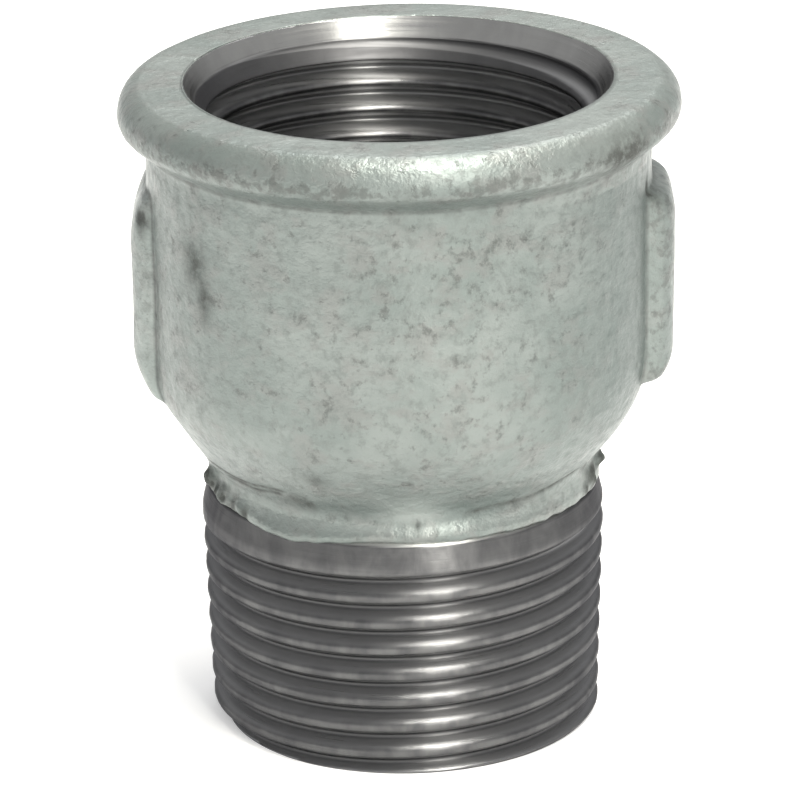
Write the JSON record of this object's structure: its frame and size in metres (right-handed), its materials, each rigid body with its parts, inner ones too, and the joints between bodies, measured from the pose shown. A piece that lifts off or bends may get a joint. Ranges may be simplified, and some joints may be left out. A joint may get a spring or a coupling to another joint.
{
  "type": "threaded pipe socket",
  "caption": "Galvanised pipe socket: a banded socket with an inside pipe thread steps down, on one axis, to a spigot with a tapered outside pipe thread.",
  "frame": {"origin": "centre of the spigot's end face, the face that the fitting stands on", "axes": "+Z along the fitting's axis, from the spigot's end up to the socket's mouth; the two casting ribs are at +X and -X"},
  "size_m": [0.046, 0.046, 0.055],
  "materials": {
    "zinc_coating": "hot-dip galvanised casting, pale grey-green, mottled, satin",
    "cut_thread": "bare machined iron with fine turning lines, semi-bright"
  },
  "bodies": {
    "root": {"socket_body": "zinc_coating", "female_thread": "cut_thread", "male_spigot": "cut_thread"}
  },
  "joints": []
}
